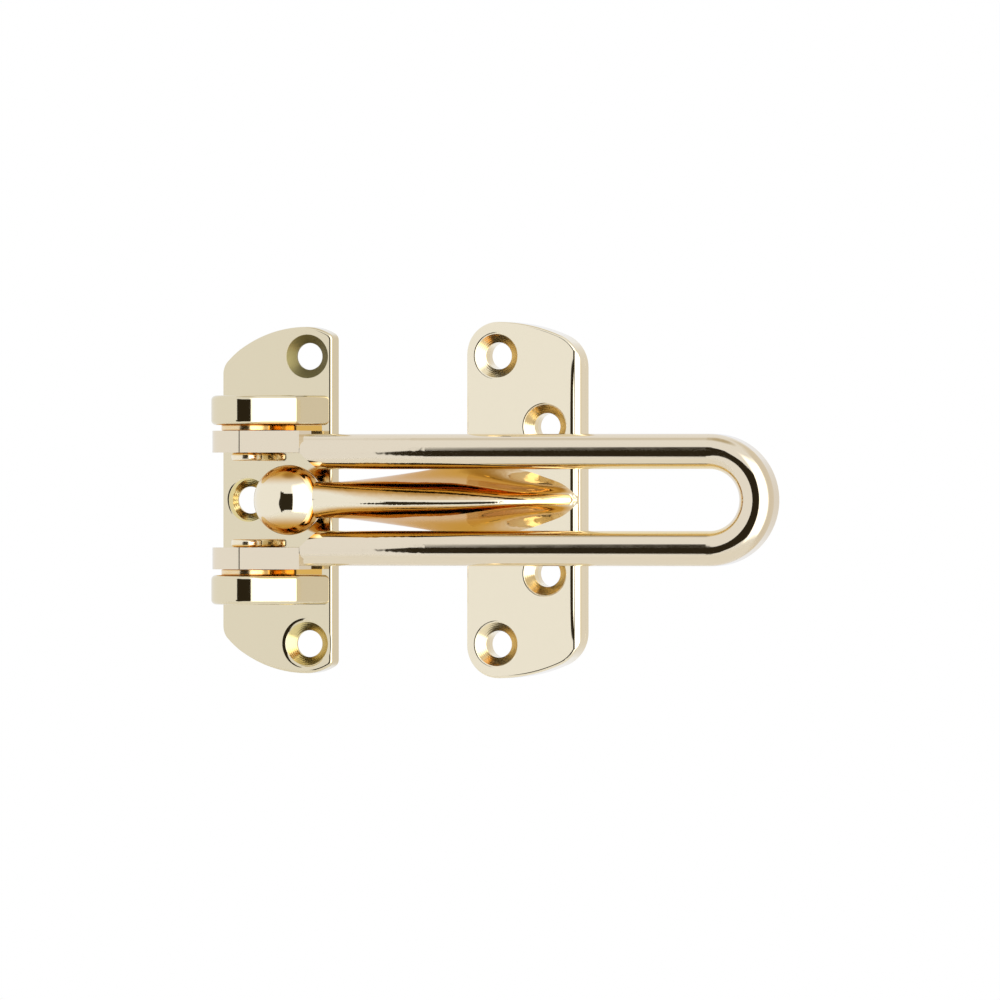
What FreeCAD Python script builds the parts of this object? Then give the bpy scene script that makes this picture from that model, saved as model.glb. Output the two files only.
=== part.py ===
import FreeCAD, Part
import math
import os

import Sketcher

# Swing bar door guard: a hinge base, a U-shaped swing bar and a keeper whose horn ends in a ball.
# Frame: millimetres, +Z up along the hinge axis, +X from the hinge towards the keeper, and the
# plates' backs on the plane y = 0 with their fronts towards -Y. The origin is on that plane, midway
# between the end screw holes of the hinge base. A height in these comments is measured along -Y.

# Driving dimensions in millimetres
SIZES = {
    # Hinge base plate
    "base_right": 4.9,
    "base_left": 16.8,
    "base_half_height": 32.2,
    "base_thickness": 4.0,
    "base_crest": 5.2,
    "base_corner": 8.8,
    "base_corner_round": 1.5,
    "base_sweep": 22.0,
    "base_shoulder": 3.2,
    "base_flat_left": 7.8,
    "base_edge_thickness": 2.6,
    "base_rim": 0.6,
    "base_screw_inset": 5.5,
    # Screw holes, common to both plates
    "screw_diameter": 5.0,
    "sink_diameter": 8.1,
    "sink_angle": 90.0,
    "middle_screw_left": 11.5,
    "core_diameter": 8.1,
    "core_depth": 1.8,
    # Hinge axis and ears
    "axis_left": 9.4,
    "axis_height": 11.4,
    "ear_inner": 13.9,
    "ear_width": 5.5,
    "ear_radius": 6.6,
    "ear_slope": 40.0,
    "ear_toe": 0.4,
    "ear_foot_inset": 0.1,
    "ear_foot_height": 2.9,
    "ear_rim": 0.9,
    # Hinge pins and washers
    "pin_radius": 2.0,
    "pin_head_radius": 2.85,
    "pin_head_height": 1.45,
    "pin_head_round": 0.5,
    "running_clearance": 0.05,
    "washer_radius": 4.7,
    # Swing bar
    "tab_inner": 8.8,
    "tab_width": 4.05,
    "tab_radius": 6.4,
    "tab_lip": 6.0,
    "tab_end": 2.8,
    "slant_length": 3.0,
    "leg_inner": 5.7,
    "leg_width": 6.5,
    "leg_depth": 7.5,
    "crank_start": 15.0,
    "crank_length": 12.0,
    "leg_slope": 3.1,
    "bend_centre": 80.2,
    # Keeper plate
    "keeper_left": 31.5,
    "keeper_right": 53.4,
    "keeper_half_height": 33.0,
    "keeper_thickness": 5.6,
    "keeper_corner": 6.0,
    "keeper_sweep": 30.0,
    "keeper_shoulder": 6.5,
    "keeper_rim": 0.5,
    "keeper_flat_right": 51.7,
    "keeper_edge_thickness": 3.8,
    "keeper_screw_inset": 6.3,
    "outer_screw_reach": 37.3,
    "inner_screw_reach": 46.7,
    "inner_screw_rise": 13.6,
    # Keeper horn and ball
    "ball_radius": 6.5,
    "ball_height": 15.15,
    "neck_reach": 7.0,
    "neck_radius": 3.35,
    "horn_tip": 53.0,
    "horn_waist": 4.6,
    "horn_skirt": 6.9,
    "horn_skirt_height": 5.1,
    "horn_floor": 1.0,
}

# Round bars and lofts are drawn through stations spaced along them
CRANK_STATIONS = 4
HORN_NECK_STATIONS = 4
HORN_FOOT_ANGLES = (22.5, 45.0, 67.5, 84.0)

# A leg's round front is a little under a half circle, so that its sides start square
CROWN_SHARE = 0.97
# A leg starts this far inside its tab, and its crown stays this far below the tab's flat front
LEG_ROOT = 0.5
LEG_STEP = 0.08
# The horn's round neck: slant of its lower points, width and height of its flank and waist points
RING_SLANT = math.sqrt(0.5)
RING_FLANK = 0.866
RING_RISE = 0.414
# The horn on its plate: flank as a share of the waist, heights as shares of the rise over the skirt
CREST_FLANK = 0.62
FLANK_RISE = 0.7
WAIST_RISE = 0.3
# Towards the tip the waist shrinks to this share, and it stays inside the skirt
CREST_SHARE = 0.41
WAIST_LIMIT = 0.75

# A cut reaches this far past the face that it opens
CUT_MARGIN = 1.0
# The arc of a falling edge is level this far above the flat, so the two meet at a slight angle
FALL_LIFT = 0.05

SHEET = "Sizes"
FRONT = FreeCAD.Vector(0.0, -1.0, 0.0)


class Measure:
    """A length that carries its number and the sheet expression that gives it."""

    def __init__(self, number, text):
        self.number = float(number)
        self.text = text

    def __add__(self, other):
        other = measure(other)
        return Measure(self.number + other.number, f"({self.text} + {other.text})")

    def __sub__(self, other):
        other = measure(other)
        return Measure(self.number - other.number, f"({self.text} - {other.text})")

    def __mul__(self, other):
        other = measure(other)
        return Measure(self.number * other.number, f"({self.text} * {other.text})")

    def __truediv__(self, other):
        other = measure(other)
        return Measure(self.number / other.number, f"({self.text} / {other.text})")

    def __neg__(self):
        return Measure(-self.number, f"(-{self.text})")


def measure(value):
    """Return a Measure as it is, and a plain number as a Measure."""
    if isinstance(value, Measure):
        return value
    return Measure(value, f"({float(value):.9f})")


def size(alias):
    """Return a driving dimension of the sheet."""
    return Measure(SIZES[alias], f"{SHEET}.{alias}")


def root(value):
    """Return the square root of a measure."""
    return Measure(math.sqrt(value.number), f"sqrt({value.text})")


def sine_of(alias):
    """Return the sine of an angle of the sheet, which holds degrees."""
    return Measure(math.sin(math.radians(SIZES[alias])), f"sin({SHEET}.{alias} * 1 deg)")


def cosine_of(alias):
    """Return the cosine of an angle of the sheet, which holds degrees."""
    return Measure(math.cos(math.radians(SIZES[alias])), f"cos({SHEET}.{alias} * 1 deg)")


ZERO = measure(0.0)


# Sheet, sketches and features

def make_sheet(doc):
    """Write the driving dimensions into a spreadsheet, one alias a row."""
    sheet = doc.addObject("Spreadsheet::Sheet", SHEET)
    for row, (alias, number) in enumerate(SIZES.items(), start=1):
        sheet.set(f"A{row}", alias)
        sheet.set(f"B{row}", str(number))
        sheet.setAlias(f"B{row}", alias)
    doc.recompute()
    return sheet


def make_body(doc, label):
    """Add an empty body with its own label."""
    body = doc.addObject("PartDesign::Body", label)
    body.Label = label
    return body


def bind(item, prop, value):
    """Bind a property of a document object to a measure."""
    item.setExpression(prop, value.text)


def origin_feature(body, role):
    """Return a plane or axis of the body's origin."""
    return next(item for item in body.Origin.OriginFeatures if item.Role == role)


def make_sketch(body, name, plane, offset=ZERO):
    """Add a sketch on one of the body's origin planes, moved along its normal."""
    sketch = body.newObject("Sketcher::SketchObject", name)
    sketch.AttachmentSupport = [(origin_feature(body, plane), "")]
    sketch.MapMode = "FlatFace"
    sketch.AttachmentOffset = FreeCAD.Placement(
        FreeCAD.Vector(0.0, 0.0, offset.number), FreeCAD.Rotation())
    bind(sketch, "AttachmentOffset.Base.z", offset)
    return sketch


def flat_vector(point):
    """Return a sketch point's numbers as a vector."""
    return FreeCAD.Vector(point[0].number, point[1].number, 0.0)


def hold(sketch, geometry, end, across=None, up=None):
    """Hold one point of a sketch at its distances from the sketch's origin."""
    for kind, axis, value in (("DistanceX", -2, across), ("DistanceY", -1, up)):
        if value is None:
            continue
        if value is ZERO:
            sketch.addConstraint(Sketcher.Constraint("PointOnObject", geometry, end, axis))
            continue
        rule = Sketcher.Constraint(kind, -1, 1, geometry, end, value.number)
        index = sketch.addConstraint(rule)
        bind(sketch, f"Constraints[{index}]", value)


def draw_arc(sketch, begin, finish, centre):
    """Draw the shorter arc between two points; return it and which end is which."""
    middle = flat_vector(centre)
    spoke = flat_vector(begin) - middle
    other = flat_vector(finish) - middle
    begin_angle = math.atan2(spoke.y, spoke.x)
    finish_angle = math.atan2(other.y, other.x)
    turn = (finish_angle - begin_angle) % (2.0 * math.pi)
    forward = turn < math.pi
    angles = (begin_angle, begin_angle + turn)
    if not forward:
        angles = (finish_angle, finish_angle + 2.0 * math.pi - turn)
    circle = Part.Circle(middle, FreeCAD.Vector(0.0, 0.0, 1.0), spoke.Length)
    geometry = sketch.addGeometry(Part.ArcOfCircle(circle, *angles), False)
    return (geometry, 1, 2) if forward else (geometry, 2, 1)


def draw_profile(sketch, points, centres):
    """Draw a closed outline through held points; a segment with a centre is an arc."""
    segments = []
    for index, begin in enumerate(points):
        finish = points[(index + 1) % len(points)]
        if index in centres:
            segments.append(draw_arc(sketch, begin, finish, centres[index]))
        else:
            line = Part.LineSegment(flat_vector(begin), flat_vector(finish))
            segments.append((sketch.addGeometry(line, False), 1, 2))
    for index, (geometry, first, last) in enumerate(segments):
        follower = segments[(index + 1) % len(segments)]
        sketch.addConstraint(
            Sketcher.Constraint("Coincident", geometry, last, follower[0], follower[1]))
        hold(sketch, geometry, first, *points[index])
        if index in centres:
            chord = flat_vector(points[(index + 1) % len(points)]) - flat_vector(points[index])
            level = abs(chord.x) > abs(chord.y)
            across, up = centres[index]
            hold(sketch, geometry, 3, None if level else across, up if level else None)


def draw_circle(sketch, radius, across, up):
    """Draw a circle with a held centre and a bound radius."""
    centre = flat_vector((across, up))
    circle = Part.Circle(centre, FreeCAD.Vector(0.0, 0.0, 1.0), radius.number)
    geometry = sketch.addGeometry(circle, False)
    hold(sketch, geometry, 3, across, up)
    index = sketch.addConstraint(Sketcher.Constraint("Radius", geometry, radius.number))
    bind(sketch, f"Constraints[{index}]", radius)


def pad(body, name, sketch, length):
    """Pad a sketch along its normal."""
    feature = body.newObject("PartDesign::Pad", name)
    feature.Profile = sketch
    bind(feature, "Length", length)
    body.Document.recompute()
    return feature


def cut_both_ways(body, name, sketch):
    """Cut a sketch right through the body, to both sides of its plane."""
    before = body.Shape.Volume
    feature = body.newObject("PartDesign::Pocket", name)
    feature.Profile = sketch
    feature.SideType = "Symmetric"
    feature.Type = "ThroughAll"
    body.Document.recompute()
    if body.Shape.Volume >= before:
        raise RuntimeError(f"{name} cut nothing")
    return feature


def mirror_up_and_down(body, name, originals):
    """Mirror features about the level plane through the origin."""
    feature = body.newObject("PartDesign::Mirrored", name)
    feature.Originals = originals
    feature.MirrorPlane = (origin_feature(body, "XY_Plane"), [""])
    body.Tip = feature
    body.Document.recompute()
    return feature


def fuse(body, name, tool):
    """Fuse another body to the body's tip."""
    feature = body.newObject("PartDesign::Boolean", name)
    feature.Type = "Fuse"
    feature.setObjects([tool])
    body.Tip = feature
    body.Document.recompute()
    return feature


def drill_screw_holes(body, name, thickness, places):
    """Drill countersunk screw holes from the plate's front, at (across, up) places."""
    sketch = make_sketch(body, f"{name}_places", "XZ_Plane", thickness)
    for across, up in places:
        draw_circle(sketch, size("screw_diameter") / 2.0, across, up)
    body.Document.recompute()
    before = body.Shape.Volume
    hole = body.newObject("PartDesign::Hole", name)
    hole.Profile = sketch
    body.Document.recompute()
    hole.DepthType = "ThroughAll"
    hole.HoleCutType = "Countersink"
    hole.HoleCutCustomValues = True
    bind(hole, "Diameter", size("screw_diameter"))
    bind(hole, "HoleCutDiameter", size("sink_diameter"))
    bind(hole, "HoleCutCountersinkAngle", size("sink_angle"))
    body.Document.recompute()
    if body.Shape.Volume >= before:
        raise RuntimeError(f"{name} cut nothing")
    return hole


def core_out(body, name, places):
    """Widen holes from the plate's back, at (across, up) places, so the metal there is thin."""
    sketch = make_sketch(body, f"{name}_places", "XZ_Plane")
    for across, up in places:
        draw_circle(sketch, size("core_diameter") / 2.0, across, up)
    before = body.Shape.Volume
    cores = body.newObject("PartDesign::Pocket", name)
    cores.Profile = sketch
    cores.Reversed = True
    bind(cores, "Length", size("core_depth"))
    body.Document.recompute()
    if body.Shape.Volume >= before:
        raise RuntimeError(f"{name} cut nothing")
    return cores


def round_edges(body, name, radius, chosen):
    """Round the edges of the body's tip for which chosen(edge, faces) holds."""
    tip = body.Tip
    shape = tip.Shape
    names = []
    for index, edge in enumerate(shape.Edges, start=1):
        if chosen(edge, shape.ancestorsOfType(edge, Part.Face)):
            names.append(f"Edge{index}")
    if not names:
        raise RuntimeError(f"{name} found no edge to round")
    feature = body.newObject("PartDesign::Fillet", name)
    feature.Base = (tip, names)
    bind(feature, "Radius", radius)
    body.Document.recompute()
    return feature


def middle_normal(face):
    """Return a face's outward normal at the middle of its parameters."""
    u_low, u_high, v_low, v_high = face.ParameterRange
    return face.normalAt((u_low + u_high) / 2.0, (v_low + v_high) / 2.0)


def is_front_rim(edge, faces):
    """Tell whether an edge joins a plate's front to its side wall."""
    leans = sorted(middle_normal(face).dot(FRONT) for face in faces)
    return len(leans) == 2 and abs(leans[0]) < 0.01 and leans[1] > 0.5


def lies_at(edge, axis, place):
    """Tell whether the whole edge has one coordinate at a place."""
    return all(abs(getattr(vertex, axis) - place) < 0.001 for vertex in edge.Vertexes)


# Both plates

def pad_plate(body, name, near, near_up, crest, far, half_height, corner, sweep, thickness):
    """Pad a plate: an arc from its crest to the near edge, a long sweep falling to its far edge."""
    corner_up = half_height - corner
    sweep_up = half_height - sweep
    reach = far - crest
    far_up = sweep_up + root(sweep * sweep - reach * reach)
    points = [
        (near, -near_up),
        (near, near_up),
        (crest, half_height),
        (far, far_up),
        (far, -far_up),
        (crest, -half_height),
    ]
    centres = {
        1: (crest, corner_up),
        2: (crest, sweep_up),
        4: (crest, -sweep_up),
        5: (crest, -corner_up),
    }
    sketch = make_sketch(body, f"{name}_outline", "XZ_Plane")
    draw_profile(sketch, points, centres)
    return pad(body, name, sketch, thickness)


def cut_fall(body, name, start, edge, thickness, edge_thickness):
    """Cut the plate's front down to a thinner edge, on an arc that leaves the flat nearly level."""
    side = 1.0 if edge.number > start.number else -1.0
    crest = thickness + FALL_LIFT
    run = edge - start
    drop = crest - edge_thickness
    radius = (run * run + drop * drop) / (drop * 2.0)
    clear = edge + CUT_MARGIN * side
    points = [
        (start, -crest),
        (edge, -edge_thickness),
        (clear, -edge_thickness),
        (clear, -(thickness + CUT_MARGIN)),
        (start, -(thickness + CUT_MARGIN)),
    ]
    sketch = make_sketch(body, f"{name}_profile", "XY_Plane")
    draw_profile(sketch, points, {0: (start, radius - crest)})
    return cut_both_ways(body, name, sketch)


def cut_axis_bore(body, name, radius):
    """Bore along the hinge axis."""
    sketch = make_sketch(body, f"{name}_circle", "XY_Plane")
    draw_circle(sketch, radius, -size("axis_left"), -size("axis_height"))
    return cut_both_ways(body, name, sketch)


# Hinge base

def ear_profile(body):
    """Draw an ear from the side: round about the hinge axis, then a ramp and a leaning wall."""
    axis = (-size("axis_left"), -size("axis_height"))
    radius = size("ear_radius")
    sine = sine_of("ear_slope")
    cosine = cosine_of("ear_slope")
    crest = (axis[0] + radius * sine, axis[1] - radius * cosine)
    toe = (size("ear_toe"), crest[1] + (size("ear_toe") - crest[0]) * sine / cosine)
    buried = -size("base_edge_thickness") / 2.0
    foot = size("base_right") - size("ear_foot_inset")
    points = [
        (axis[0] - radius, buried),
        (axis[0] - radius, axis[1]),
        (axis[0], axis[1] - radius),
        crest,
        toe,
        (foot, -size("ear_foot_height")),
        (foot, buried),
    ]
    centres = {1: axis, 2: axis}
    sketch = make_sketch(body, "ear_profile", "XY_Plane", size("ear_inner"))
    draw_profile(sketch, points, centres)
    return sketch


def build_ears(doc):
    """Build the two ears by themselves and round their rims, so no plate edge is in a fillet's way."""
    body = make_body(doc, "ears")
    ear = pad(body, "ear", ear_profile(body), size("ear_width"))
    walls = (SIZES["ear_inner"], SIZES["ear_inner"] + SIZES["ear_width"])
    above_plate = -SIZES["base_thickness"] - CUT_MARGIN
    rims = round_edges(body, "ear_rims", size("ear_rim"),
                       lambda edge, faces: edge.BoundBox.YMin < above_plate
                       and any(abs(abs(edge.CenterOfMass.z) - wall) < 0.001 for wall in walls))
    mirror_up_and_down(body, "ear_pair", [ear, rims])
    return body


def build_hinge_base(doc):
    """Build the hinge base: plate, two ears, pin bores and three screw holes cored out behind."""
    body = make_body(doc, "hinge_base")
    thickness = size("base_thickness")
    left = -size("base_left")
    right = size("base_right")
    half_height = size("base_half_height")
    corner = size("base_corner")
    inset = size("base_crest")
    near_up = half_height - corner + root(corner * corner - inset * inset)
    pad_plate(body, "base_plate", right, near_up, right - inset, left, half_height,
              corner, size("base_sweep"), thickness)
    for name, side in (("base_shoulder", left), ("base_corner_round", right)):
        round_edges(body, f"{name}s", size(name),
                    lambda edge, faces: lies_at(edge, "X", side.number)
                    and edge.BoundBox.YLength > thickness.number / 2.0)
    round_edges(body, "base_rim", size("base_rim"), is_front_rim)
    cut_fall(body, "base_fall", -size("base_flat_left"), left, thickness,
             size("base_edge_thickness"))
    fuse(body, "ears_on_plate", build_ears(doc))
    cut_axis_bore(body, "pin_bores", size("pin_radius"))
    rise = half_height - size("base_screw_inset")
    places = [(ZERO, rise), (ZERO, -rise), (-size("middle_screw_left"), ZERO)]
    drill_screw_holes(body, "base_screw_holes", thickness, places)
    core_out(body, "base_cores", places)
    return body


# Swing bar

def tab_front():
    """Return the height of a tab's flat front."""
    return size("axis_height") + size("tab_radius") * cosine_of("tab_lip")


def leg_section(body, name, across, fall):
    """Draw a leg's section about a point on its front line: square behind, with a round front."""
    depth = size("leg_depth")
    inner = size("leg_inner")
    outer = inner + size("leg_width")
    half = size("leg_width") / 2.0
    rise = half * CROWN_SHARE
    radius = (half * half + rise * rise) / (rise * 2.0)
    points = [
        (depth, inner),
        (depth, outer),
        (rise, outer),
        (rise, inner),
    ]
    sketch = make_sketch(body, name, "YZ_Plane", across)
    bind(sketch, "AttachmentOffset.Base.x", fall + LEG_STEP - tab_front())
    draw_profile(sketch, points, {2: (radius, (inner + outer) / 2.0)})
    return sketch


def lean(sketch, alias):
    """Lean a leg's section forwards about its upright axis, by an angle of the sheet."""
    place = sketch.AttachmentOffset
    place.Rotation = FreeCAD.Rotation(FreeCAD.Vector(0.0, 1.0, 0.0), SIZES[alias])
    sketch.AttachmentOffset = place
    sketch.setExpression("AttachmentOffset.Rotation.Angle", f"{SHEET}.{alias} * 1 deg")
    return sketch


def loft(body, name, sections):
    """Loft a solid through section sketches."""
    feature = body.newObject("PartDesign::AdditiveLoft", name)
    feature.Profile = sections[0]
    feature.Sections = sections[1:]
    body.Document.recompute()
    return feature


def tab_profile(body):
    """Draw a hinge tab from the side: round about the axis, flat in front, tapering behind.

    The round runs a little past its crest, so it meets the flat front in a fine line.
    """
    axis = (-size("axis_left"), -size("axis_height"))
    radius = size("tab_radius")
    front = tab_front()
    points = [
        (axis[0], axis[1] + radius),
        (axis[0] - radius, axis[1]),
        (axis[0] + radius * sine_of("tab_lip"), -front),
        (size("tab_end"), -front),
        (size("tab_end"), size("leg_depth") - front),
    ]
    sketch = make_sketch(body, "tab_profile", "XY_Plane", size("tab_inner"))
    draw_profile(sketch, points, {0: axis, 1: axis})
    return sketch


def cut_slant(body, root):
    """Cut the inner corner of a leg's start on a slant, from the tab's inner face out to the leg's."""
    start = root - CUT_MARGIN
    end = size("tab_end") + size("slant_length")
    below = size("leg_inner") - CUT_MARGIN
    points = [
        (start, size("tab_inner")),
        (size("tab_end"), size("tab_inner")),
        (end, size("leg_inner")),
        (end, below),
        (start, below),
    ]
    sketch = make_sketch(body, "leg_slant_outline", "XZ_Plane")
    draw_profile(sketch, points, {})
    return cut_both_ways(body, "leg_slant", sketch)


def build_swing_bar(doc):
    """Build the swing bar: two hinge tabs, round-fronted legs that start at them, and a bend."""
    body = make_body(doc, "swing_bar")
    root = size("tab_end") - LEG_ROOT
    level = loft(body, "level_leg", [
        leg_section(body, "level_section", root, ZERO),
        leg_section(body, "level_end_section", size("crank_start"), ZERO),
    ])
    slant = cut_slant(body, root)
    tab = pad(body, "tab", tab_profile(body), size("tab_width"))

    slope = sine_of("leg_slope") / cosine_of("leg_slope")
    crank_sections = []
    for station in range(CRANK_STATIONS + 1):
        share = station / CRANK_STATIONS
        crank_sections.append(leg_section(
            body, f"crank_section_{station}", size("crank_start") + size("crank_length") * share,
            slope * size("crank_length") * (share * share / 2.0)))
    crank = loft(body, "leg_crank", crank_sections)

    crank_end = size("crank_start") + size("crank_length")
    crank_fall = slope * size("crank_length") / 2.0
    fall = crank_fall + slope * (size("bend_centre") - crank_end)
    leg = loft(body, "leg", [
        leg_section(body, "leg_section", crank_end, crank_fall),
        lean(leg_section(body, "leg_end_section", size("bend_centre"), fall), "leg_slope"),
    ])

    bend_section = lean(leg_section(body, "bend_section", size("bend_centre"), fall), "leg_slope")
    bend = body.newObject("PartDesign::Revolution", "bend")
    bend.Profile = bend_section
    bend.ReferenceAxis = (bend_section, ["H_Axis"])
    bend.Angle = 180.0
    doc.recompute()

    mirror_up_and_down(body, "lower_leg", [level, slant, tab, crank, leg])
    cut_axis_bore(body, "tab_bores", size("pin_radius") + size("running_clearance"))
    return body


# Keeper

def horn_ring(across, top, sides, bottom):
    """Return one closed horn section: top and bottom heights, and side points as (width, height)."""
    points = [FreeCAD.Vector(across, -top, 0.0)]
    points += [FreeCAD.Vector(across, -height, width) for width, height in sides]
    points += [FreeCAD.Vector(across, -bottom, 0.0)]
    points += [FreeCAD.Vector(across, -height, -width) for width, height in reversed(sides)]
    curve = Part.BSplineCurve()
    curve.interpolate(Points=points, PeriodicFlag=True)
    return Part.Wire([curve.toShape()])


def between(first, last, share):
    """Return the number that lies a share of the way from the first to the last."""
    return first + (last - first) * share


def horn_section(sheet, across):
    """Return the horn's section at a distance from the origin, from a few driving sizes.

    The section is round at the ball's neck. Towards the plate it grows a narrow crest over a waist
    and a hollow skirt, and past the plate's edge the skirt closes to a point.
    """
    neck = sheet.neck_radius
    reach = sheet.neck_reach
    along = max(0.0, (across - reach) / (sheet.horn_tip - reach))
    spread = min(1.0, max(0.0, (across - reach) / (sheet.keeper_left - reach)))
    past = max(0.0, (across - sheet.keeper_left) / (sheet.horn_tip - sheet.keeper_left))

    top = between(sheet.ball_height + neck, sheet.keeper_thickness, along ** 3)
    bottom = between(sheet.ball_height - neck, sheet.horn_floor, spread ** 2)
    foot_height = between(sheet.ball_height - neck * RING_SLANT, sheet.horn_skirt_height, spread ** 0.6)
    foot = between(neck * RING_SLANT, sheet.horn_skirt, spread) * math.sqrt(1.0 - past ** 2)
    waist = between(neck, sheet.horn_waist, spread)
    waist = between(waist, sheet.horn_waist * CREST_SHARE, 1.0 - (1.0 - past) ** 1.2)
    if past > 0.0:
        waist = min(waist, foot * WAIST_LIMIT)
    flank = waist * between(RING_FLANK, CREST_FLANK, spread)
    rise = top - foot_height
    sides = [
        (flank, foot_height + rise * FLANK_RISE),
        (waist, foot_height + rise * between(RING_RISE, WAIST_RISE, spread)),
        (foot, foot_height),
    ]
    return horn_ring(across, top, sides, bottom)


def build_horn(doc, sheet):
    """Build the horn: a loft from inside the ball, along the neck, down to a point on the plate."""
    neck_run = sheet.keeper_left - sheet.neck_reach
    foot_run = sheet.horn_tip - sheet.keeper_left
    places = [sheet.ball_radius / 2.0]
    for station in range(HORN_NECK_STATIONS + 1):
        places.append(sheet.neck_reach + neck_run * station / HORN_NECK_STATIONS)
    for angle in HORN_FOOT_ANGLES:
        places.append(sheet.keeper_left + foot_run * math.sin(math.radians(angle)))
    horn = doc.addObject("Part::Feature", "keeper_horn")
    horn.Shape = Part.makeLoft([horn_section(sheet, place) for place in places], True, False)
    horn.Placement = FreeCAD.Placement()
    return horn


def build_keeper(doc, sheet):
    """Build the keeper: a plate with four screw holes, and a horn that ends in a ball."""
    body = make_body(doc, "keeper_plate")
    thickness = size("keeper_thickness")
    left = size("keeper_left")
    right = size("keeper_right")
    half_height = size("keeper_half_height")
    corner = size("keeper_corner")
    pad_plate(body, "plate", left, half_height - corner, left + corner, right, half_height,
              corner, size("keeper_sweep"), thickness)
    round_edges(body, "plate_shoulders", size("keeper_shoulder"),
                lambda edge, faces: lies_at(edge, "X", right.number)
                and edge.BoundBox.YLength > thickness.number / 2.0)
    round_edges(body, "plate_rim", size("keeper_rim"), is_front_rim)
    cut_fall(body, "plate_fall", size("keeper_flat_right"), right, thickness,
             size("keeper_edge_thickness"))
    outer = (size("outer_screw_reach"), half_height - size("keeper_screw_inset"))
    inner = (size("inner_screw_reach"), size("inner_screw_rise"))
    places = [outer, (outer[0], -outer[1]), inner, (inner[0], -inner[1])]
    drill_screw_holes(body, "keeper_screw_holes", thickness, places)

    ball = doc.addObject("Part::Sphere", "keeper_ball")
    bind(ball, "Radius", size("ball_radius"))
    bind(ball, "Placement.Base.y", -size("ball_height"))

    keeper = doc.addObject("Part::MultiFuse", "keeper")
    keeper.Label = "keeper"
    keeper.Shapes = [body, build_horn(doc, sheet), ball]
    doc.recompute()
    return keeper


# Hinge pins and washers

def place_on_axis(body, flipped):
    """Place a turned piece on the hinge axis, upside down for the lower one."""
    turn = FreeCAD.Rotation(FreeCAD.Vector(1.0, 0.0, 0.0), 180.0 if flipped else 0.0)
    body.Placement = FreeCAD.Placement(FreeCAD.Vector(), turn)
    bind(body, "Placement.Base.x", -size("axis_left"))
    bind(body, "Placement.Base.y", -size("axis_height"))


def build_pin(doc, label, flipped):
    """Build a hinge pin: a head inside the tab and a shank through tab and ear."""
    body = make_body(doc, label)
    under_head = size("tab_inner") - size("running_clearance")
    head_top = under_head - size("pin_head_height")
    shank_end = size("ear_inner") + size("ear_width")
    round_off = size("pin_head_round")
    head = size("pin_head_radius")
    points = [
        (ZERO, head_top),
        (head - round_off, head_top),
        (head, head_top + round_off),
        (head, under_head),
        (size("pin_radius"), under_head),
        (size("pin_radius"), shank_end),
        (ZERO, shank_end),
    ]
    sketch = make_sketch(body, f"{label}_profile", "XZ_Plane")
    draw_profile(sketch, points, {1: (head - round_off, head_top + round_off)})
    turned = body.newObject("PartDesign::Revolution", f"{label}_turned")
    turned.Profile = sketch
    turned.ReferenceAxis = (sketch, ["V_Axis"])
    turned.Angle = 360.0
    doc.recompute()
    place_on_axis(body, flipped)
    return body


def build_washer(doc, label, flipped):
    """Build the washer that fills the gap between a tab and its ear."""
    body = make_body(doc, label)
    clearance = size("running_clearance")
    under = size("tab_inner") + size("tab_width") + clearance
    sketch = make_sketch(body, f"{label}_ring", "XY_Plane", under)
    draw_circle(sketch, size("washer_radius"), ZERO, ZERO)
    draw_circle(sketch, size("pin_radius") + clearance, ZERO, ZERO)
    pad(body, f"{label}_pad", sketch, size("ear_inner") - under)
    place_on_axis(body, flipped)
    return body


# Check and write

def check(doc, pieces):
    """Stop if an object failed to build or a piece is not one sound solid."""
    for item in doc.Objects:
        if "Invalid" in item.State or "Error" in item.State:
            raise RuntimeError(f"{item.Label} failed: {item.State}")
    for piece in pieces:
        shape = piece.Shape
        if shape.isNull() or not shape.isValid() or len(shape.Solids) != 1:
            raise RuntimeError(f"{piece.Label} is not one valid solid")
        box = shape.BoundBox
        print(f"{piece.Label}: {shape.Volume:.1f} mm3, "
              f"x {box.XMin:.2f} to {box.XMax:.2f}, y {box.YMin:.2f} to {box.YMax:.2f}, "
              f"z {box.ZMin:.2f} to {box.ZMax:.2f}, {len(shape.Faces)} faces")


def main():
    """Build the document, check it and write one file a piece."""
    doc = FreeCAD.newDocument("SwingBarDoorGuard")
    sheet = make_sheet(doc)
    pieces = [
        build_hinge_base(doc),
        build_swing_bar(doc),
        build_keeper(doc, sheet),
        build_pin(doc, "upper_hinge_pin", False),
        build_pin(doc, "lower_hinge_pin", True),
        build_washer(doc, "upper_washer", False),
        build_washer(doc, "lower_washer", True),
    ]
    doc.recompute()
    check(doc, pieces)
    os.makedirs("parts", exist_ok=True)
    for piece in pieces:
        piece.Shape.exportStep(os.path.join("parts", f"{piece.Label}.step"))


main()
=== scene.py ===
"""Look of the swing bar door guard: polished pale brass on a white ground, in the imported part's frame."""

import logging
import math
from dataclasses import dataclass, replace
from enum import Enum
from typing import Any, Optional, Union

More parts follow.
